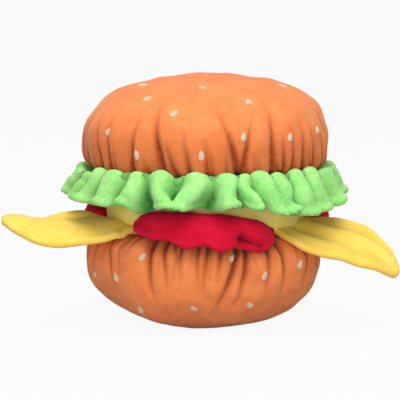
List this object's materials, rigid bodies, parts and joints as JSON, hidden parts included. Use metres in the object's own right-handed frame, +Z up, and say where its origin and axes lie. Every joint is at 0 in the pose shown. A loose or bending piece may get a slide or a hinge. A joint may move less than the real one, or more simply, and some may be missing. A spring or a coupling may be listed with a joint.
{
  "type": "plush toy",
  "caption": "Soft stuffed toy shaped like a hamburger: gathered buns on a middle cushion, a pleated lettuce frill, cheese and tomato flaps hinged at a seam, embroidered seeds and a squeaker.",
  "frame": {"origin": "centre of the flat patch under the bottom bun that the toy rests on", "axes": "+Z up through both buns; -Y is the front, where the widest tomato flap hangs; the left and right cheese flaps reach out along -X and +X"},
  "size_m": [0.2226, 0.1994, 0.1379],
  "materials": {
    "bun_velour": "short-pile stretch velour, golden bun orange, gathered into soft pleats",
    "lettuce_velour": "short-pile velour, leaf green, doubled and gathered",
    "cheese_velour": "short-pile velour, warm cheese yellow, doubled with a rolled edge",
    "tomato_velour": "short-pile velour, tomato red, doubled with a rolled edge",
    "band_velour": "short-pile velour, pale straw yellow",
    "lining": "plain woven cotton lining, unseen",
    "stuffing": "loose white polyester fibre",
    "seed_thread": "raised satin stitch in cream embroidery thread",
    "gather_thread": "strong polyester gathering thread",
    "squeaker_plastic": "thin blown polyethylene, translucent white",
    "reed_plastic": "moulded red polystyrene"
  },
  "bodies": {
    "stack": {"top_bun_cover": "bun_velour", "top_bun_base": "lining", "top_bun_fill": "stuffing", "top_bun_seeds": "seed_thread", "bottom_bun_cover": "bun_velour", "bottom_bun_lid": "lining", "bottom_bun_fill": "stuffing", "bottom_bun_seeds": "seed_thread", "squeaker_bellows": "squeaker_plastic", "squeaker_reed": "reed_plastic", "core_band": "band_velour", "core_bottom_panel": "lining", "core_top_panel": "lining", "core_fill": "stuffing", "upper_gather_thread": "gather_thread", "lower_gather_thread": "gather_thread", "lettuce_frill": "lettuce_velour"},
    "cheese_left": {"cheese_flap_left": "cheese_velour"},
    "cheese_right": {"cheese_flap_right": "cheese_velour"},
    "cheese_back": {"cheese_flap_back": "cheese_velour"},
    "tomato_front": {"tomato_flap_front": "tomato_velour"},
    "tomato_back_left": {"tomato_flap_back_left": "tomato_velour"},
    "tomato_back_right": {"tomato_flap_back_right": "tomato_velour"}
  },
  "joints": [
    {"name": "cheese_left_lift", "type": "hinge", "parent": "stack", "child": "cheese_left", "pos_m": [-0.04539, -0.01974, 0.0556], "axis": [-0.3987, 0.9171, 0], "range_deg": [-2, 12], "stiffness_Nm_per_rad": 0.034},
    {"name": "cheese_right_lift", "type": "hinge", "parent": "stack", "child": "cheese_right", "pos_m": [0.04539, -0.01974, 0.0556], "axis": [-0.3987, -0.9171, 0], "range_deg": [-2, 12], "stiffness_Nm_per_rad": 0.034},
    {"name": "cheese_back_lift", "type": "hinge", "parent": "stack", "child": "cheese_back", "pos_m": [0.00043, 0.0495, 0.0556], "axis": [1, -0.0087, 0], "range_deg": [-2, 12], "stiffness_Nm_per_rad": 0.034},
    {"name": "tomato_front_lift", "type": "hinge", "parent": "stack", "child": "tomato_front", "pos_m": [0, -0.042, 0.0553], "axis": [-1, 0, 0], "range_deg": [0, 12], "stiffness_Nm_per_rad": 0.034},
    {"name": "tomato_back_left_lift", "type": "hinge", "parent": "stack", "child": "tomato_back_left", "pos_m": [-0.04014, 0.02811, 0.0553], "axis": [0.5736, 0.8191, 0], "range_deg": [0, 12], "stiffness_Nm_per_rad": 0.034},
    {"name": "tomato_back_right_lift", "type": "hinge", "parent": "stack", "child": "tomato_back_right", "pos_m": [0.04014, 0.02811, 0.0553], "axis": [0.5736, -0.8191, 0], "range_deg": [0, 12], "stiffness_Nm_per_rad": 0.034}
  ]
}
